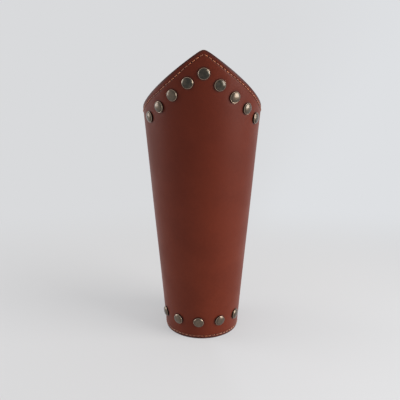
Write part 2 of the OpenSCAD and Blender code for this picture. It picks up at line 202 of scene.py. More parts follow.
def thicken(piece, thickness, offset, rounding):
    """Gives a sheet of leather its thickness and rounds its cut edges."""
    apply_modifier(
        piece, "SOLIDIFY", thickness=thickness * MM, offset=offset, use_even_offset=True
    )
    apply_modifier(
        piece, "BEVEL", width=rounding * MM, segments=3, limit_method="ANGLE",
        angle_limit=math.radians(50),
    )
    smooth(piece)


def dress(piece, material, slot, body, *nodes):
    """The finish of a piece, the CAD nodes it stands for, and the body it moves with."""
    piece.data.materials.clear()
    piece.data.materials.append(material)
    if nodes:
        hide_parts(*nodes)
    if body:
        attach(piece, body)


def fade(distance, start, end):
    """1 up to the start distance, falling smoothly to 0 at the end distance."""
    t = np.clip((end - distance) / (end - start), 0, 1)
    return t * t * (3 - 2 * t)


# Rows stand at fixed heights near the wrist, then share the height, then hang from the rim. Rows and
# columns lie close together where a seam needs them.
LOW_ROWS = ramp((0, 12), (4.2, 6), (9, 10), (24, 1))[:-1]
TOP_ROWS = ramp((34, 18), (10, 5), (7, 20), (0, 1))[:-1]
MID_ROWS = 44
CLOSE_TURN = 0.14
turns = ramp((-OPENING, 18), (-OPENING + CLOSE_TURN, 190), (OPENING - CLOSE_TURN, 18), (OPENING, 1))
row_count = len(LOW_ROWS) + MID_ROWS + len(TOP_ROWS)
hide, u, v = add_grid("shell_hide", turns, np.arange(row_count))
v = np.rint(v).astype(int)
rim = rim_z(u) + RIM_UP
low_end, top_start = LOW_ROWS[-1], TOP_ROWS[0]
share = (v - len(LOW_ROWS) + 1) / (MID_ROWS + 1)
heights = low_end + (rim - top_start - low_end) * share
heights = np.where(v < len(LOW_ROWS), LOW_ROWS[np.minimum(v, len(LOW_ROWS) - 1)], heights)
from_top = v - len(LOW_ROWS) - MID_ROWS
hung = rim - TOP_ROWS[np.clip(from_top, 0, len(TOP_ROWS) - 1)]
heights = np.where(from_top >= 0, hung, heights)

# How far each point is from the cut edges, the seams and the rivets, measured along the leather.
# Beyond its end a seam counts as far off, so that its groove stops there.
FAR_OFF = 50
radius = shell_r(heights)
side_gap = (OPENING - np.abs(u)) * radius
rim_gap = (rim - heights) * np.cos(lean_of(rim_z, u))
edge = np.minimum(np.minimum(side_gap, heights), rim_gap)
seams = np.stack([
    np.abs(heights - seam_z(u)) * np.cos(lean_of(seam_z, u)),
    np.abs(heights - WRIST_SEAM_Z),
    np.abs(side_gap - SEAM_IN),
])
phases = np.stack([
    np.interp(np.abs(u - PEAK_LEAN), PEAK_STITCHES, np.arange(len(PEAK_STITCHES)) + 0.5),
    (u + wrist_end) / (2 * wrist_end) * wrist_count + 0.5,
    (heights - EDGE_LOW) / (EDGE_HIGH - EDGE_LOW) * edge_count + 0.5,
])
beyond_end = FAR_OFF * (edge < np.array(SEAM_EDGE_GAPS)[:, None])
nearest = np.argmin(seams + beyond_end, axis=0)
seam = np.take_along_axis(seams, nearest[None], 0)[0]
seam_step = np.take_along_axis(phases, nearest[None], 0)[0]
rivet = np.full(len(u), np.inf)
for turn, z in PEAK_RIVETS + WRIST_RIVETS:
    rivet = np.minimum(rivet, np.hypot((u - turn) * radius, heights - z))

sink = GROOVE_DEPTH * np.exp(-((seam / GROOVE_HALF) ** 2))
sink += PRESSED * fade(rivet, 4.0, 8.5)
sink += PRESSED * fade(edge, 0.2, 1.6)
sink += WAVE * np.sin(3 * u + 0.02 * heights) * np.sin(0.035 * heights + 1.3 * u)
face = radius - sink
place_points(hide, face * np.sin(u), -face * np.cos(u), heights)
mark(hide, "edge", edge)
mark(hide, "seam", seam)
mark(hide, "seam_step", seam_step)
mark(hide, "rivet", rivet)
thicken(hide, HIDE_T, -1, CUT_ROUNDING)


def srgb(*colour):
    """A colour written as a picture shows it, 0 to 255, as the shader reads it."""
    return tuple(
        c / 12.92 if c <= 0.04045 else ((c + 0.055) / 1.055) ** 2.4
        for c in (channel / 255 for channel in colour)
    ) + (1.0,)


def add_node(tree, kind, inputs=(), **settings):
    """A node with its settings, and each input set to a value or linked to an output."""
    made = tree.nodes.new(kind)
    for key, value in settings.items():
        setattr(made, key, value)
    for key, value in dict(inputs).items():
        if isinstance(value, bpy.types.NodeSocket):
            tree.links.new(value, made.inputs[key])
        else:
            made.inputs[key].default_value = value
    return made


def combine(tree, how, a, b=0.0, clamp=False):
    """One step of arithmetic on two values, or on one."""
    step = add_node(tree, "ShaderNodeMath", {0: a, 1: b}, operation=how, use_clamp=clamp)
    return step.outputs[0]


def times(tree, a, b):
    return combine(tree, "MULTIPLY", a, b)


def between(tree, value, low, high, to_low=0.0, to_high=1.0):
    """A value's smooth passage from low to high."""
    return add_node(
        tree, "ShaderNodeMapRange",
        {"Value": value, "From Min": low, "From Max": high, "To Min": to_low, "To Max": to_high},
        interpolation_type="SMOOTHSTEP",
    ).outputs["Result"]


def blend_colours(tree, share, a, b):
    mixed = add_node(tree, "ShaderNodeMix", {0: share, 6: a, 7: b}, data_type="RGBA")
    return mixed.outputs[2]


def place_of(tree):
    """Where a point lies on the object, in metres."""
    return add_node(tree, "ShaderNodeTexCoord").outputs["Object"]


def part_of(tree, place, axis):
    return add_node(tree, "ShaderNodeSeparateXYZ", {"Vector": place}).outputs[axis]


def value_of(tree, name):
    """A value marked on a piece's points."""
    return add_node(tree, "ShaderNodeAttribute", attribute_name=name).outputs["Fac"]


def add_noise(tree, place, scale, detail, roughness=0.5, distortion=0.0):
    """Uneven values from 0 to 1, so many to the metre."""
    return add_node(tree, "ShaderNodeTexNoise", {
        "Vector": place, "Scale": scale, "Detail": detail, "Roughness": roughness,
        "Distortion": distortion,
    }).outputs[0]


def new_material(name, **shader_values):
    material = bpy.data.materials.new(name)
    material.use_nodes = True
    shader = material.node_tree.nodes["Principled BSDF"]
    for key, value in shader_values.items():
        shader.inputs[key.replace("_", " ")].default_value = value
    return material, material.node_tree, shader


def emboss(tree, shader, height, strength, depth):
    """Raises a pattern on the surface, depth in metres."""
    bump = add_node(
        tree, "ShaderNodeBump", {"Height": height, "Strength": strength, "Distance": depth}
    )
    tree.links.new(bump.outputs["Normal"], shader.inputs["Normal"])


def new_group(name, inputs, outputs):
    """A node group with named inputs, each with its usual value, and named outputs."""
    group = bpy.data.node_groups.new(name, "ShaderNodeTree")
    for label, value in inputs.items():
        kind = "NodeSocketColor" if isinstance(value, tuple) else "NodeSocketFloat"
        group.interface.new_socket(label, in_out="INPUT", socket_type=kind).default_value = value
    for label, kind in outputs.items():
        group.interface.new_socket(label, in_out="OUTPUT", socket_type=kind)
    start = group.nodes.new("NodeGroupInput")
    end = group.nodes.new("NodeGroupOutput")
    return group, start.outputs, end.inputs


def use_group(tree, group, values):
    return add_node(tree, "ShaderNodeGroup", values, node_tree=group).outputs


# The surface of finished leather: fine pores, soft creases and cloudy dye
leather_surface, given, put = new_group(
    "leather_surface",
    {
        "Dark": (0.1, 0.02, 0.01, 1.0), "Light": (0.12, 0.03, 0.02, 1.0),
        "Pore size": 0.6, "Cloud size": 30.0,
    },
    {"Color": "NodeSocketColor", "Height": "NodeSocketFloat", "Cloud": "NodeSocketFloat"},
)
tree = leather_surface
place = place_of(tree)
pore_scale = combine(tree, "DIVIDE", 1000.0, given["Pore size"])
pores = add_node(
    tree, "ShaderNodeTexVoronoi", {"Vector": place, "Scale": pore_scale}, feature="SMOOTH_F1"
).outputs["Distance"]
creases = add_noise(tree, place, 380.0, 5.0, 0.62, 0.4)
cloud_scale = combine(tree, "DIVIDE", 1000.0, given["Cloud size"])
cloud = between(tree, add_noise(tree, place, cloud_scale, 3.0, 0.55), 0.35, 0.65)
speck = between(tree, creases, 0.40, 0.62)
tone = combine(tree, "ADD", times(tree, cloud, 0.7), times(tree, speck, 0.3))
tree.links.new(blend_colours(tree, tone, given["Dark"], given["Light"]), put["Color"])
height = combine(tree, "ADD", times(tree, pores, 0.45), times(tree, creases, 0.55))
tree.links.new(height, put["Height"])
tree.links.new(cloud, put["Cloud"])

# Burnishing and handling along an edge, by the distance from it in millimetres
edge_wear, given, put = new_group(
    "edge_wear",
    {"Edge": 5.0, "Width": 1.4, "Amount": 1.0},
    {"Mask": "NodeSocketFloat"},
)
tree = edge_wear
ragged = add_noise(tree, place_of(tree), 260.0, 4.0)
reach = times(tree, given["Width"], times(tree, ragged, 1.6))
near_edge = combine(tree, "DIVIDE", given["Edge"], reach)
mask = times(tree, between(tree, near_edge, 1.0, 0.3), given["Amount"])
tree.links.new(mask, put["Mask"])

shell_leather, tree, shader = new_material(
    "shell_leather", IOR=1.46, Specular_IOR_Level=0.17, Sheen_Weight=0.1, Sheen_Roughness=0.4,
    Sheen_Tint=srgb(255, 214, 200),
)
surface = use_group(tree, leather_surface, {
    "Dark": srgb(88, 31, 14), "Light": srgb(96, 36, 18), "Pore size": 0.55, "Cloud size": 34.0,
})
worn = use_group(tree, edge_wear, {"Edge": value_of(tree, "edge"), "Width": 3.0, "Amount": 0.8})
# Painted shade: the leather is painted darker towards the elbow end, where less light comes up from
# the floor
painted_top_shade = between(tree, part_of(tree, place_of(tree), "Z"), 0.02, 0.23, 0.0, 0.46)
colour = blend_colours(tree, painted_top_shade, surface["Color"], srgb(66, 14, 0))
colour = blend_colours(tree, worn["Mask"], colour, srgb(50, 24, 22))
# Painted shade: a dark hole at each end of a stitch, a darker groove, and a painted contact shadow
# round the rivets
along = combine(tree, "ADD", value_of(tree, "seam_step"), 0.5)
along = combine(tree, "SUBTRACT", combine(tree, "FLOORED_MODULO", along, 1.0), 0.5)
along = times(tree, along, STITCH_PITCH)
across = value_of(tree, "seam")
from_hole = combine(tree, "ADD", times(tree, along, along), times(tree, across, across))
hole = between(tree, combine(tree, "SQRT", from_hole), 0.55, 0.3)
groove_shade = times(tree, between(tree, across, 0.9, 0.2), 0.35)
rivet_shade = times(tree, between(tree, value_of(tree, "rivet"), 6.0, 4.5), 0.7)
shade = combine(tree, "MAXIMUM", groove_shade, rivet_shade)
colour = blend_colours(tree, shade, colour, srgb(52, 20, 15))
colour = blend_colours(tree, hole, colour, srgb(30, 12, 8))
tree.links.new(colour, shader.inputs["Base Color"])
rough = between(tree, surface["Cloud"], 0.0, 1.0, 0.5, 0.43)
tree.links.new(combine(tree, "ADD", rough, times(tree, hole, 0.3)), shader.inputs["Roughness"])
height = combine(tree, "SUBTRACT", surface["Height"], times(tree, hole, 3.0))
emboss(tree, shader, height, 0.55, 0.00012)
dress(hide, shell_leather, "shell_leather", "shell", "outer_leather")

# The lining: thin tan suede glued to the inside of the shell, flesh side in. It stops just short of
# the rims, and the seams' thread passes through it.
LINING_T = 1.0
LINING_IN = 0.25
LINING_SIDE_IN = 0.006
LINING_PLAY = 0.05
LINING_ROUNDING = 0.25
RIPPLE = 0.06
lining_turns = ramp((-OPENING + LINING_SIDE_IN, 150), (OPENING - LINING_SIDE_IN, 1))
lining, u, v = add_grid("shell_lining", lining_turns, np.linspace(0, 1, 90))
low, high = LINING_IN, rim_z(u) + RIM_UP - LINING_IN
heights = low + (high - low) * v
inner = shell_r(heights) - LEATHER_T - LINING_T + LINING_PLAY
inner += RIPPLE * np.sin(7 * u) * np.sin(0.11 * heights)
place_points(lining, inner * np.sin(u), -inner * np.cos(u), heights)
side_gap = (OPENING - np.abs(u)) * inner
mark(lining, "edge", np.minimum(side_gap, np.minimum(heights, high - heights)))
thicken(lining, LINING_T, 1, LINING_ROUNDING)
suede, tree, shader = new_material(
    "suede_lining", Roughness=0.92, Sheen_Weight=0.35, Sheen_Roughness=0.5, IOR=1.4
)
place = place_of(tree)
nap = add_noise(tree, place, 900.0, 4.0, 0.7)
brushed = between(tree, add_noise(tree, place, 42.0, 3.0, distortion=1.2), 0.3, 0.7)
tone = combine(tree, "ADD", times(tree, brushed, 0.6), times(tree, nap, 0.4))
colour = blend_colours(tree, tone, srgb(128, 92, 64), srgb(168, 128, 94))
tree.links.new(colour, shader.inputs["Base Color"])
emboss(tree, shader, nap, 0.8, 0.00025)
dress(lining, suede, "lining_leather", "shell", "lining")

# The seams: waxed two-ply thread, saddle-stitched all round through both leathers. Each stitch lies
# in the groove, and its ends dip into the holes that it shares with its neighbours.
STITCH_L = 3.1
THREAD_R = 0.32
THREAD_UP = 0.12  # how far a stitch's middle stands out of the leather
THREAD_DIP = 0.67  # and how far its ends go down from there
STRAP_HEIGHTS = {"wrist": 38.0, "middle": 98.0, "elbow": 158.0}
STRAP_ROOM = 11.45  # no stitch of the opening's seams lies this near the middle of a strap


def on_shell(turn, z):
    """A place on the shell's face: X level with the rim, Y up the leather, Z out of it."""
    return (
        Matrix.Rotation(turn, 4, "Z")
        @ Matrix.Translation((0, -shell_r(z) * MM, z * MM))
        @ Matrix.Rotation(math.pi / 2 + HALF_ANGLE, 4, "X")
    )


def join(pieces):
    """Makes several pieces one, the first of them."""
    bpy.ops.object.select_all(action="DESELECT")
    for piece in pieces:
        piece.select_set(True)
    bpy.context.view_layer.objects.active = pieces[0]
    if len(pieces) > 1:
        bpy.ops.object.join()


def join_copies(name, model, places):
    """Copies of one modelled piece at several places, each with its own mesh, joined as one."""
    copies = []
    for where in places:
        copy = model.copy()
        copy.data = model.data.copy()
        copy.data.transform(where)
        bpy.context.collection.objects.link(copy)
        copies.append(copy)
    join(copies)
    joined = copies[0]
    joined.name = joined.data.name = name
    return joined


bpy.ops.object.select_all(action="DESELECT")
bpy.ops.mesh.primitive_uv_sphere_add(segments=8, ring_count=7, radius=1)
stitch = bpy.context.object
stitch.name = "stitch"
stitch.data.transform(Matrix.Rotation(math.pi / 2, 4, "Y"))
for point in stitch.data.vertices:
    x, y, z = point.co
    girth = 0
    if abs(x) < 0.999:
        girth = THREAD_R * math.sqrt(max(0.0, 1 - x**6)) / max(math.hypot(y, z), 1e-6)
    up = z * girth + THREAD_UP - THREAD_DIP * x**4
    point.co = (x * STITCH_L / 2 * MM, y * girth * MM, up * MM)
smooth(stitch, 80)
mark(stitch, "along", [p.co.x / MM for p in stitch.data.vertices])

thread, tree, shader = new_material(
    "waxed_thread", Roughness=0.5, IOR=1.45, Coat_Weight=0.6, Coat_Roughness=0.28
)
place = place_of(tree)
ply = add_noise(tree, place, 1500.0, 2.0)
twist = combine(tree, "ADD", times(tree, value_of(tree, "along"), 7.0), times(tree, ply, 2.5))
strand = between(tree, combine(tree, "SINE", twist), -0.9, 0.6)
# The dye takes unevenly from stitch to stitch, and at both sides of the wrist the lit strands get a
# pale painted highlight
uneven = add_noise(tree, place, 230.0, 1.0)
tone = times(tree, strand, between(tree, uneven, 0.4, 0.58, 0.25, 1.0))
colour = blend_colours(tree, tone, srgb(112, 52, 28), srgb(194, 114, 66))
sideways = combine(tree, "ABSOLUTE", part_of(tree, place, "X"))
at_wrist = between(tree, part_of(tree, place, "Z"), 0.006, 0.0045)
painted_highlight = times(tree, between(tree, sideways, 0.004, 0.014, 0.0, 0.55), at_wrist)
colour = blend_colours(tree, times(tree, painted_highlight, tone), colour, srgb(206, 170, 144))
tree.links.new(colour, shader.inputs["Base Color"])
emboss(tree, shader, strand, 0.7, 0.0001)

peak_places = []
for side in (-1, 1):
    for from_tip in PEAK_STITCHES:
        turn = PEAK_LEAN + side * from_tip
        if abs(turn) < SEAM_END:
            lean = Matrix.Rotation(float(lean_of(seam_z, turn)), 4, "Z")
            peak_places.append(on_shell(turn, float(seam_z(turn))) @ lean)
peak_seam = join_copies("peak_seam", stitch, peak_places)
dress(peak_seam, thread, "thread", "shell", "peak_stitching")
wrist_seam = join_copies("wrist_seam", stitch, [on_shell(t, WRIST_SEAM_Z) for t in WRIST_STITCHES])
dress(wrist_seam, thread, "thread", "shell", "wrist_stitching")
for name, side in (("left_edge", -1), ("right_edge", 1)):
    places = []
    for i in range(edge_count + 1):
        z = EDGE_LOW + (EDGE_HIGH - EDGE_LOW) * i / edge_count
        if min(abs(z - s) for s in STRAP_HEIGHTS.values()) > STRAP_ROOM:
            turn = side * (OPENING - SEAM_IN / shell_r(z))
            places.append(on_shell(turn, z) @ Matrix.Rotation(math.pi / 2, 4, "Z"))
    edge_seam = join_copies(f"{name}_seam", stitch, places)
    dress(edge_seam, thread, "thread", "shell", f"{name}_stitching")
bpy.data.objects.remove(stitch)

# The shell's rivets: domed caps of antiqued brass with a rolled rim, set by hand. Each post passes
# through both leathers and is peened over a washer inside.
CAP_R = 4.5
CAP_DOME = 2.35
CAP_SKIRT = 0.9
POST_R = 1.4
WALL = 3.2
WASHER_T = 0.8
PEENED = 0.15


def pick(piece, kind, chosen):
    """Opens a piece in edit mode with only the chosen points or faces selected."""
    bpy.ops.object.mode_set(mode="EDIT")
    bpy.ops.mesh.select_all(action="DESELECT")
    bpy.ops.object.mode_set(mode="OBJECT")
    for part in getattr(piece.data, kind):
        part.select = chosen(part)
    bpy.ops.object.mode_set(mode="EDIT")


def draw_out(girth, level, stages):
    """Draws the picked face up through stages, each with its girth and height in millimetres."""
    for wide, high in stages:
        bpy.ops.mesh.extrude_region_move(
            TRANSFORM_OT_translate={"value": (0, 0, (high - level) * MM)}
        )
        bpy.ops.transform.resize(
            value=(wide / girth, wide / girth, 1), center_override=(0, 0, high * MM)
        )
        girth, level = wide, high
    bpy.ops.mesh.select_all(action="DESELECT")
    bpy.ops.object.mode_set(mode="OBJECT")


def add_cap(name, radius, dome, skirt, post_end):
    """A rivet, from its cap's skirt to its post's peened end, with the seat at the origin."""
    k = radius / CAP_R
    profile = [
        (radius - 0.3 * k, -skirt), (radius - 0.3 * k, 0.62 * k), (radius - 0.08 * k, 0.72 * k),
        (radius, 0.86 * k), (radius - 0.06 * k, 1.02 * k), (radius - 0.22 * k, 1.12 * k),
        (radius - 0.36 * k, 1.1 * k),
    ]
    inside, shoulder = profile[-1]
    for i in range(1, 10):
        angle = math.pi / 2 * i / 9.6
        rise = (dome - shoulder) * math.sin(angle)
        profile.append((inside * math.cos(angle), shoulder + rise))
    bpy.ops.object.select_all(action="DESELECT")
    bpy.ops.mesh.primitive_cylinder_add(
        vertices=40, radius=profile[0][0] * MM, depth=0.02 * MM, end_fill_type="NGON",
        location=(0, 0, profile[0][1] * MM),
    )
    cap = bpy.context.object
    cap.name = cap.data.name = name
    bpy.ops.object.transform_apply(location=True, rotation=True, scale=True)
    pick(cap, "polygons", lambda face: face.normal.z > 0.9)
    draw_out(*profile[0], profile[1:])
    bpy.ops.object.select_all(action="DESELECT")
    bpy.ops.mesh.primitive_cylinder_add(
        vertices=20, radius=POST_R * MM, depth=(post_end - skirt) * MM,
        location=(0, 0, -(post_end + skirt) / 2 * MM),
    )
    post = bpy.context.object
    bpy.ops.object.transform_apply(location=True, rotation=True, scale=True)
    apply_modifier(post, "BEVEL", width=0.35 * MM, segments=3, limit_method="ANGLE")
    join([cap, post])
    smooth(cap, 40)
    points = cap.data.vertices
    mark(cap, "from_rim", [(radius - math.hypot(p.co.x, p.co.y) / MM) / k for p in points])
    # Marks the foot below the rolled rim, which the material paints dark as shade
    mark(cap, "foot", [1 if p.co.z < 0.68 * k * MM else 0 for p in points])
    return cap


# Antiqued metal: bright where it is handled, and where a painted sheen is given, dark and rough where
# the patina stays
antique, given, put = new_group(
    "antique_metal",
    {"Bright": (0.5, 0.4, 0.3, 1.0), "Patina": (0.1, 0.08, 0.06, 1.0), "Handled_and_painted_sheen": 0.0},
    {"Color": "NodeSocketColor", "Roughness": "NodeSocketFloat", "Height": "NodeSocketFloat"},
)
tree = antique
place = place_of(tree)
stain = add_noise(tree, place, 330.0, 4.0, 0.6)
scratch = add_noise(tree, place, 2400.0, 2.0)
stained = between(tree, stain, 0.4, 0.7, 0.0, 0.1)
bright = combine(tree, "ADD", stained, given["Handled_and_painted_sheen"], clamp=True)
tree.links.new(blend_colours(tree, bright, given["Patina"], given["Bright"]), put["Color"])
tree.links.new(between(tree, bright, 0.0, 0.5, 0.36, 0.22), put["Roughness"])
height = combine(tree, "ADD", times(tree, stain, 0.7), times(tree, scratch, 0.3))
tree.links.new(height, put["Height"])

rivet_metal, tree, shader = new_material(
    "antique_rivet", Metallic=1.0, Coat_Weight=0.7, Coat_Roughness=0.12
)
from_rim = value_of(tree, "from_rim")
rolled = times(tree, between(tree, from_rim, 0.48, 0.3), between(tree, from_rim, 0.0, 0.1))
# Painted shade and reflection: the caps round the tip are painted darker, for the dark surroundings
# they mirror, and those at the wrist a little brighter, for the pale floor they mirror
height = part_of(tree, place_of(tree), "Z")
tip = between(tree, height, 0.216, 0.225)
crown = between(tree, from_rim, 0.5, 2.2, 0.0, 0.13)
crown = times(tree, crown, combine(tree, "SUBTRACT", 1.0, tip))
crown = combine(tree, "ADD", crown, between(tree, height, 0.05, 0.03, 0.0, 0.05))
worn = use_group(tree, antique, {
    "Bright": srgb(172, 150, 128),
    "Patina": blend_colours(tree, tip, srgb(62, 51, 38), srgb(38, 34, 22)),
    "Handled_and_painted_sheen": combine(tree, "ADD", times(tree, rolled, 0.85), crown),
})
# Painted shade: the foot below the rolled rim, in shade under it, is painted near black
foot = value_of(tree, "foot")
colour = blend_colours(tree, foot, worn["Color"], srgb(24, 14, 10))
tree.links.new(colour, shader.inputs["Base Color"])
tree.links.new(combine(tree, "MAXIMUM", worn["Roughness"], foot), shader.inputs["Roughness"])
emboss(tree, shader, worn["Height"], 0.2, 0.00006)

cap = add_cap("cap", CAP_R, CAP_DOME, CAP_SKIRT, WALL + WASHER_T + PEENED)
peak_caps = join_copies("peak_caps", cap, [on_shell(*where) for where in PEAK_RIVETS])
dress(peak_caps, rivet_metal, "rivet_metal", "shell", "peak_rivet_caps")
wrist_caps = join_copies("wrist_caps", cap, [on_shell(*where) for where in WRIST_RIVETS])
dress(wrist_caps, rivet_metal, "rivet_metal", "shell", "wrist_rivet_caps")
bpy.data.objects.remove(cap)


# The washers inside, and the flat rivets under the tongues: pressed brass, antiqued but not lacquered.
# Their shapes stay as the CAD has them, and only their finish is set.
def antique_material(name, bright, patina, handled):
    """Antiqued metal. Its handling is a value, or a function that works one out in its tree."""
    material, tree, shader = new_material(name, Metallic=1.0)
    if callable(handled):
        handled = handled(tree)
    worn = use_group(tree, antique, {"Bright": bright, "Patina": patina, "Handled_and_painted_sheen": handled})
    tree.links.new(worn["Color"], shader.inputs["Base Color"])
    tree.links.new(worn["Roughness"], shader.inputs["Roughness"])
    emboss(tree, shader, worn["Height"], 0.4, 0.0001)
    return material


washer_metal = antique_material("washer_metal", srgb(170, 146, 112), srgb(96, 84, 66), 0.35)
kept = ["peak_rivet_washers", "wrist_rivet_washers"]
for closure in STRAP_HEIGHTS:
    kept += [f"{closure}_strap_rivet_washers", f"{closure}_chape_rivet_washers"]
    kept.append(f"{closure}_chape_rivet_caps")
for name in kept:
    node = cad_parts[name]
    node.data.materials.clear()
    node.data.materials.append(washer_metal)

# The straps: bridle leather 2 mm thick, creased along both edges. Each is riveted to the right side,
# bridges the opening, passes under the buckle's nose bar and comes up over the heel bar as the tongue.
STRAP_HALF = 8.0
STRAP_T = 2.0
STRAP_MID = 1.3  # height of its middle above the shell
STRAP_FIRST_RIVET = 8  # in from the opening's edge
STRAP_RIVET_STEP = 9
STRAP_END = 5.5
STRAP_CORNER = 2
STRAP_ROUNDING = 0.4
STRAP_LAP = 0.4  # how far it runs on under the root of the tongue
STRAP_GIVE = 3  # a place on the strap, in from the opening's edge
HAIR = 0.04  # keeps two leathers apart where they lie flat together
HEEL_UP = 0.51  # how far the heel bar lies above the shell's face
HEEL_IN = 4.55  # how far it stands over the opening
NOSE_UP = 3.9  # how far the nose bar lies above the shell's face
REACH = 15.0  # from the heel bar to the nose bar
TONGUE_REACH = 20  # how far the tongue lies over the shell, past the opening
GAP_HALF = math.radians(GAP_DEGREES)


class Station:
    """The places of one closure, in millimetres round the back of the cone."""

    def __init__(self, z):
        self.seat = shell_r(z) / math.cos(HALF_ANGLE)
        self.edge = self.seat * GAP_HALF
        self.heel_s = -self.edge + HEEL_IN
        self.heel = self.at(self.heel_s, HEEL_UP)
        a, b = self.seat + HEEL_UP, self.seat + NOSE_UP
        opened = math.acos((a * a + b * b - REACH * REACH) / (2 * a * b))
        self.nose_s = self.heel_s + self.seat * opened
        self.nose = self.at(self.nose_s, NOSE_UP)
        self.tip_s = -self.edge - TONGUE_REACH
        self.to_world = Matrix.Translation((0, 0, (z + shell_r(z) * TAPER) * MM)) @ Matrix.Rotation(
            -HALF_ANGLE, 4, "X"
        )
        tilt = math.atan2(self.nose[1] - self.heel[1], self.nose[0] - self.heel[0])
        self.buckle = (
            self.to_world
            @ Matrix.Translation((self.heel[0] * MM, self.heel[1] * MM, 0))
            @ Matrix.Rotation(tilt, 4, "Z")
        )

    def at(self, s, up):
        a = s / self.seat
        return (self.seat + up) * np.sin(a), (self.seat + up) * np.cos(a)

    def on_strap(self, s, up):
        """A place on the middle of the strap, with Z out of the leather."""
        x, y = self.at(s, up)
        return (
            self.to_world
            @ Matrix.Translation((x * MM, y * MM, 0))
            @ Matrix.Rotation(-s / self.seat, 4, "Z")
            @ Matrix.Rotation(-math.pi / 2, 4, "X")
        )


STATIONS = {name: Station(z) for name, z in STRAP_HEIGHTS.items()}


def both_ways(*steps):
    """Places across a strip, from one edge over its middle to the other."""
    return np.array([-step for step in reversed(steps)] + [0] + list(steps))


ACROSS = both_ways(0.25, 0.5, 0.72, 0.82, 0.88, 0.93, 0.97, 1)


def lay_strip(name, station, across, path, half, ends):
    """A strip of leather along a path round the back: its middle surface, marked by its edges."""
    rows = np.arange(len(path))
    piece, u, v = add_grid(name, across, rows)
    row = np.rint(v).astype(int)
    x, y = np.array(path).T
    place_points(piece, x[row], y[row], u * np.asarray(half)[row])
    piece.data.transform(station.to_world)
    mark(piece, "edge", np.minimum((1 - np.abs(u)) * STRAP_HALF, np.asarray(ends)[row]))
    return piece


strap_leather, tree, shader = new_material("strap_leather", IOR=1.46)
surface = use_group(tree, leather_surface, {
    "Dark": srgb(58, 28, 20), "Light": srgb(78, 38, 28), "Pore size": 0.5, "Cloud size": 16.0,
})
edge = value_of(tree, "edge")
worn = use_group(tree, edge_wear, {"Edge": edge, "Width": 0.7, "Amount": 0.8})
colour = blend_colours(tree, worn["Mask"], surface["Color"], srgb(36, 19, 15))
crease = times(tree, between(tree, edge, 1.15, 1.4), between(tree, edge, 1.75, 1.5))
colour = blend_colours(tree, times(tree, crease, 0.7), colour, srgb(30, 14, 11))
tree.links.new(colour, shader.inputs["Base Color"])
tree.links.new(between(tree, surface["Cloud"], 0.0, 1.0, 0.50, 0.38), shader.inputs["Roughness"])
height = combine(tree, "SUBTRACT", surface["Height"], times(tree, crease, 2.5))
emboss(tree, shader, height, 0.6, 0.00012)

for closure, station in STATIONS.items():
    end_s = station.edge + STRAP_FIRST_RIVET + STRAP_RIVET_STEP + STRAP_END
    corner_s = end_s - STRAP_CORNER
    corner = corner_s + STRAP_CORNER * np.sin(np.linspace(0.2, 1, 8) * math.pi / 2)
    run = np.concatenate([np.linspace(station.nose_s - STRAP_LAP, corner_s, 40), corner])
    path = [station.at(s, STRAP_MID) for s in run]
    left = end_s - run
    into = np.clip(STRAP_CORNER - left, 0, STRAP_CORNER)
    half = STRAP_HALF - STRAP_CORNER + np.sqrt(STRAP_CORNER**2 - into**2)
    strap = lay_strip(f"{closure}_strap_leather", station, ACROSS, path, half, left)
    thicken(strap, STRAP_T - HAIR, 0, STRAP_ROUNDING)
    dress(strap, strap_leather, "strap_leather", None, f"{closure}_strap")
    start = station.on_strap(station.edge + STRAP_GIVE, STRAP_MID).translation
    end = station.on_strap(station.nose_s, STRAP_MID).translation
    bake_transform(strap)

# The tongues: the straps' free ends, cut to a point, with an oval hole for the prong and three spare
# holes. Each starts under the nose bar.
TONGUE_MID = 4.8
TONGUE_FOLD = 7  # a length from the nose bar
TIP_L = 7
TIP_FULLNESS = 0.62
TIP_ROW_GROWTH = 1.6  # the rows lie closer together towards the point
TIP_SLANT = 0.8  # how near the point's sides are, for each millimetre from its end
BAR_R = 1.3
BAR_GAP = 0.15
CLIMB_START = 0.3  # past the nose bar
CLIMB_END = 5.6  # before the heel bar
PRONG_R = 0.95
PRONG_REST = BAR_R + BAR_GAP + PRONG_R
PRONG_ROOT = (1.0, 1.2)
HOLE_R = PRONG_R + 0.3
HOLE_PITCH = 7.0
HOLE_OVAL = 1.6
LONG_PUNCH = 17
LONG_PUNCH_MID = 8
SHORT_PUNCH = 8
prong_slope = math.atan2(PRONG_REST - PRONG_ROOT[1], REACH - PRONG_ROOT[0])
# From the buckle's heel bar to the prong's root, with Z along the prong
along_prong = (
    Matrix.Translation((PRONG_ROOT[0] * MM, PRONG_ROOT[1] * MM, 0))
    @ Matrix.Rotation(prong_slope, 4, "Z")
    @ Matrix.Rotation(math.pi / 2, 4, "Y")
)


def punch(piece, length, where):
    """Cuts a round hole through a piece."""
    bpy.ops.object.select_all(action="DESELECT")
    bpy.ops.mesh.primitive_cylinder_add(vertices=24, radius=HOLE_R * MM, depth=length * MM)
    cutter = bpy.context.object
    cutter.data.transform(where)
    apply_modifier(piece, "BOOLEAN", operation="DIFFERENCE", object=cutter, solver="EXACT")
    bpy.data.objects.remove(cutter)


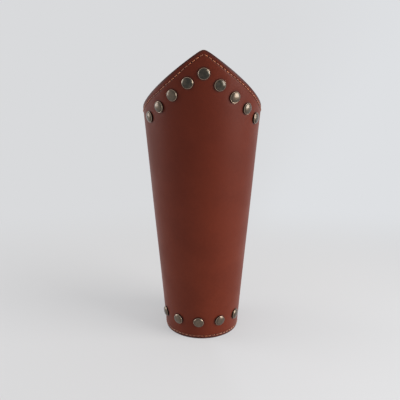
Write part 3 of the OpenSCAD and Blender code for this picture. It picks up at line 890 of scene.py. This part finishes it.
for closure, station in STATIONS.items():
    low_s = station.nose_s - BAR_R - CLIMB_START
    high_s = station.heel_s + CLIMB_END
    point = TIP_L * np.linspace(0.02, 1, 14) ** TIP_ROW_GROWTH
    body = np.linspace(station.nose_s, station.tip_s + TIP_L, 90)[:-1]
    run = np.concatenate([body, station.tip_s + point[::-1]])
    path = []
    for s in run:
        t = min(1.0, max(0.0, (low_s - s) / (low_s - high_s)))
        climb = (TONGUE_MID - STRAP_MID) * (1 - math.cos(math.pi * t)) / 2
        path.append(station.at(s, STRAP_MID + climb))
    left = run - station.tip_s
    half = STRAP_HALF * np.minimum(1, (left / TIP_L) ** TIP_FULLNESS)
    name = f"{closure}_tongue_leather"
    tongue = lay_strip(name, station, -ACROSS, path, half, left * TIP_SLANT)
    thicken(tongue, STRAP_T, 0, STRAP_ROUNDING)
    for swing in (-1, 0, 1):
        angle = swing * HOLE_OVAL / (REACH / 2) / 2
        where = station.buckle @ Matrix.Rotation(angle, 4, "Z") @ along_prong
        punch(tongue, LONG_PUNCH, where @ Matrix.Translation((0, 0, LONG_PUNCH_MID * MM)))
    for i in (1, 2, 3):
        hole_s = station.heel_s + REACH / 2 - i * HOLE_PITCH
        punch(tongue, SHORT_PUNCH, station.on_strap(hole_s, TONGUE_MID))
    smooth(tongue)
    dress(tongue, strap_leather, "strap_leather", None, f"{closure}_strap_tongue")
    start = station.on_strap(station.nose_s, STRAP_MID).translation
    end = station.on_strap(station.nose_s - TONGUE_FOLD, STRAP_MID).translation
    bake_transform(tongue)

# The chapes: short straps folded round the heel bars, slotted there for the prong, and riveted to
# the left side with two flat rivets.
CHAPE_T = 1.6
CHAPE_HALF = 7.85
CHAPE_REACH = 12
CHAPE_UP = 0.3
CHAPE_CORNER = 1.4
CHAPE_CORNER_IN = 0.8
CHAPE_ROUNDING = 0.3
CHAPE_HAIR = 0.06
ROW_STEP = 0.7  # about how far its rows lie apart
END_LIGHT = 0.3  # keeps its ends from burnishing fully dark
FOLD_MID = BAR_R + BAR_GAP + CHAPE_T / 2
FOLD_DEGREES = 222
FOLD_START = 0.6  # where the leather leaves the shell, in from the opening's edge
FOLD_END = 0.3  # where it lies flat again, past the heel bar
SLOT_HALF = 1.4
SLOT_START = -2.65  # behind the heel bar
CHAPE_ACROSS = both_ways(SLOT_HALF / CHAPE_HALF, 0.4, 0.7, 0.88, 0.95, 1)

for closure, station in STATIONS.items():
    hx, hy = station.heel
    outward = math.atan2(hy, hx)
    # Along the shell to the heel bar, round it, and back over the first layer
    far_s = -station.edge - CHAPE_REACH
    flat_s = np.linspace(far_s, -station.edge - FOLD_START, 16)
    path = [station.at(s, CHAPE_UP + CHAPE_T / 2) for s in flat_s]
    for t in np.linspace(0, 1, 26):
        angle = outward - math.radians(FOLD_DEGREES - FOLD_DEGREES * t)
        path.append((hx + FOLD_MID * math.cos(angle), hy + FOLD_MID * math.sin(angle)))
    top_s = np.linspace(station.heel_s - FOLD_END, far_s, 22)
    path += [station.at(s, CHAPE_UP + CHAPE_T * 1.5 - HAIR) for s in top_s]
    count = len(path)
    from_end = np.minimum(np.arange(count), count - 1 - np.arange(count)) * ROW_STEP
    half = CHAPE_HALF - CHAPE_CORNER_IN * np.maximum(0, 1 - from_end / CHAPE_CORNER) ** 2
    name = f"{closure}_chape_leather"
    chape = lay_strip(name, station, CHAPE_ACROSS, path, half, from_end + END_LIGHT)
    to_buckle = station.buckle.inverted()

    def in_slot(face):
        centre = to_buckle @ face.center
        return abs(centre.z) < SLOT_HALF * MM and centre.x > SLOT_START * MM

    pick(chape, "polygons", in_slot)
    bpy.ops.mesh.delete(type="FACE")
    bpy.ops.object.mode_set(mode="OBJECT")
    thicken(chape, CHAPE_T - CHAPE_HAIR, 0, CHAPE_ROUNDING)
    dress(chape, strap_leather, "strap_leather", "shell", f"{closure}_chape")

# The straps' own rivets: the same antiqued caps in a smaller size, two on each strap. Their posts
# pass through the strap and both leathers, and are peened over a washer inside.
SMALL_CAP_R = 3.2
SMALL_DOME = 1.5
SMALL_SKIRT = 0.3
STRAP_TOP = 2.3
post_end = STRAP_TOP + WALL + WASHER_T + PEENED
small_cap = add_cap("small_cap", SMALL_CAP_R, SMALL_DOME, SMALL_SKIRT, post_end)
for closure, station in STATIONS.items():
    first = station.edge + STRAP_FIRST_RIVET
    places = [station.on_strap(first + STRAP_RIVET_STEP * i, STRAP_TOP) for i in (0, 1)]
    caps = join_copies(f"{closure}_strap_caps", small_cap, places)
    dress(caps, rivet_metal, "rivet_metal", "shell", f"{closure}_strap_rivet_caps")
bpy.data.objects.remove(small_cap)

# The buckles: round brass wire bent to a rectangle with rounded nose corners and antiqued. The prong
# is bent round the heel bar and rests on the nose bar.
WINDOW_HALF = 8.5
SIDE = WINDOW_HALF + BAR_R
NOSE_CORNER = 3
HEEL_CORNER = 0.9
COIL_R = 1.98
COIL_T = 0.5
COIL_WIDE = 2.1  # how much wider than thick the prong's coil is
ARM_PAST = 1.8  # how far the prong goes on past the nose bar's middle


def handled_corners(tree):
    sharp = add_node(tree, "ShaderNodeNewGeometry").outputs["Pointiness"]
    return between(tree, sharp, 0.49, 0.56, 0.25, 0.8)


buckle_metal = antique_material(
    "antique_buckle", srgb(186, 158, 118), srgb(104, 90, 66), handled_corners
)

bpy.ops.object.select_all(action="DESELECT")
bpy.ops.mesh.primitive_plane_add(size=1)
buckle = bpy.context.object
buckle.name = buckle.data.name = "buckle"
for point in buckle.data.vertices:
    x, y, _ = point.co
    point.co = ((x + 0.5) * REACH * MM, 0, y * 2 * SIDE * MM)
bpy.ops.object.mode_set(mode="EDIT")
bpy.ops.mesh.select_mode(type="VERT")
pick(buckle, "vertices", lambda point: point.co.x > 0.5 * REACH * MM)
bpy.ops.mesh.bevel(offset=NOSE_CORNER * MM, offset_type="OFFSET", segments=8, affect="VERTICES")
pick(buckle, "vertices", lambda point: point.co.x < 0.01 * MM)
bpy.ops.mesh.bevel(offset=HEEL_CORNER * MM, offset_type="OFFSET", segments=4, affect="VERTICES")
bpy.ops.mesh.select_all(action="SELECT")
bpy.ops.mesh.delete(type="ONLY_FACE")
bpy.ops.object.mode_set(mode="OBJECT")
bpy.ops.object.convert(target="CURVE")
buckle = bpy.context.object
buckle.data.dimensions = "3D"
buckle.data.bevel_depth = BAR_R * MM
buckle.data.bevel_resolution = 6
bpy.ops.object.convert(target="MESH")
buckle = bpy.context.object
smooth(buckle, 60)

bpy.ops.object.select_all(action="DESELECT")
bpy.ops.mesh.primitive_torus_add(
    major_radius=COIL_R * MM, minor_radius=COIL_T * MM, major_segments=32, minor_segments=12
)
prong = bpy.context.object
prong.name = prong.data.name = "prong"
prong.data.transform(Matrix.Diagonal((1, 1, COIL_WIDE, 1)))
arm_l = math.hypot(REACH - PRONG_ROOT[0], PRONG_REST - PRONG_ROOT[1]) + ARM_PAST
bpy.ops.object.select_all(action="DESELECT")
bpy.ops.mesh.primitive_cylinder_add(vertices=16, radius=PRONG_R * MM, depth=0.2 * MM)
arm = bpy.context.object
arm.data.transform(Matrix.Translation((0, 0, 0.1 * MM)))
pick(arm, "polygons", lambda face: face.normal.z > 0.9)
draw_out(1.0, 0.2, [
    (1.0, 3), (0.99, 6), (0.97, 9), (0.94, 12), (0.9, 14), (0.84, arm_l - 0.8),
    (0.62, arm_l - 0.25), (0.3, arm_l),
])
arm.data.transform(along_prong)
join([prong, arm])
smooth(prong, 50)

for closure, station in STATIONS.items():
    wire = join_copies(f"{closure}_buckle_wire", buckle, [station.buckle])
    dress(wire, buckle_metal, "buckle_metal", f"{closure}_buckle", f"{closure}_buckle_frame")
    pin = join_copies(f"{closure}_prong_wire", prong, [station.buckle])
    dress(pin, buckle_metal, "buckle_metal", f"{closure}_prong", f"{closure}_buckle_prong")
bpy.data.objects.remove(buckle)
bpy.data.objects.remove(prong)

# The studio: a pale paper floor, a tall soft box on each side and an even light all round. Far from
# the bracer the paper shows its plain colour, with painted light towards the right and a band of
# painted shade behind.
PAPER = srgb(217, 218, 220)
PAPER_LIT_RIGHT = srgb(222, 224, 227)
PAPER_SWEEP_SHADE = srgb(212, 212, 213)
FLOOR_HALF = 40000
floor_line = np.linspace(-FLOOR_HALF, FLOOR_HALF, 3)
floor_grid, u, v = add_grid("floor", floor_line, floor_line)
place_points(floor_grid, u, v, 0 * u)
paper, tree, shader = new_material("studio_paper", Roughness=1.0, Specular_IOR_Level=0.0)
shader.inputs["Base Color"].default_value = srgb(207, 205, 204)


def toward_right(tree, direction):
    """The paper's colour with painted light, a little brighter towards the right-hand soft box."""
    unit = add_node(tree, "ShaderNodeVectorMath", {0: direction}, operation="NORMALIZE")
    side = part_of(tree, unit.outputs["Vector"], "X")
    return blend_colours(tree, between(tree, side, 0.08, 0.36), PAPER, PAPER_LIT_RIGHT)


def seen_plainly(tree):
    """1 for what the camera sees, directly, in a mirror or through glass."""
    ray = add_node(tree, "ShaderNodeLightPath").outputs
    direct = combine(tree, "MAXIMUM", ray["Is Camera Ray"], ray["Is Glossy Ray"])
    return combine(tree, "MAXIMUM", direct, ray["Is Transmission Ray"])


place = place_of(tree)
away = add_node(tree, "ShaderNodeVectorMath", {0: place}, operation="LENGTH").outputs["Value"]
share = times(tree, seen_plainly(tree), between(tree, away, 0.12, 0.4, 0.45, 1.0))
# Painted shade: behind the bracer a darker band stands in for paper that sweeps up and turns away from
# the lamps
behind = part_of(tree, place, "Y")
sweep_shade = between(tree, behind, -0.02, 0.1, 0.0, 0.6)
sweep_shade = times(tree, sweep_shade, between(tree, behind, 0.34, 0.14))
colour = blend_colours(tree, sweep_shade, toward_right(tree, place), PAPER_SWEEP_SHADE)
plain = add_node(tree, "ShaderNodeEmission", {"Color": colour}).outputs[0]
mixed = add_node(tree, "ShaderNodeMixShader", {0: share, 1: shader.outputs[0], 2: plain})
tree.links.new(mixed.outputs[0], tree.nodes["Material Output"].inputs["Surface"])
floor_grid.data.materials.append(paper)

world = bpy.data.worlds.new("studio")
bpy.context.scene.world = world
world.use_nodes = True
tree = world.node_tree
light = tree.nodes["Background"]
light.inputs["Color"].default_value = (0.96, 0.98, 1.0, 1.0)
light.inputs["Strength"].default_value = 0.73
direction = add_node(tree, "ShaderNodeTexCoord").outputs["Generated"]
# The background seen directly gets the same painted light
colour = toward_right(tree, direction)
plain = add_node(tree, "ShaderNodeBackground", {"Color": colour}).outputs[0]
mixed = add_node(
    tree, "ShaderNodeMixShader", {0: seen_plainly(tree), 1: light.outputs[0], 2: plain}
)
tree.links.new(mixed.outputs[0], tree.nodes["World Output"].inputs["Surface"])


def add_soft_box(name, where, width, height, power, colour):
    """A soft box aimed at the middle of the bracer, with its size in metres and power in watts."""
    lamp = bpy.data.lights.new(name, "AREA")
    lamp.shape = "RECTANGLE"
    lamp.size = width
    lamp.size_y = height
    lamp.energy = power
    lamp.color = colour
    holder = bpy.data.objects.new(name, lamp)
    holder.location = where
    aim = Vector((0, 0, 0.13)) - Vector(where)
    holder.rotation_euler = aim.to_track_quat("-Z", "Y").to_euler()
    holder.visible_camera = False
    bpy.context.collection.objects.link(holder)


add_soft_box("soft_box_right", (0.94, -0.38, 0.42), 0.75, 0.85, 14, (1.0, 0.985, 0.97))
add_soft_box("soft_box_left", (-1.0, 0.12, 0.36), 0.6, 0.7, 5, (0.98, 0.985, 1.0))

CAMERA_DOWN = 16.977
lens = bpy.data.cameras.new("camera")
lens.sensor_width = 36
lens.lens = 53.227
camera = bpy.data.objects.new("camera", lens)
camera.location = (-0.001729, -0.5, 0.271456)
camera.rotation_euler = (math.radians(90 - CAMERA_DOWN), 0, 0)
bpy.context.collection.objects.link(camera)
scene = bpy.context.scene
scene.camera = camera
scene.view_settings.view_transform = "Standard"
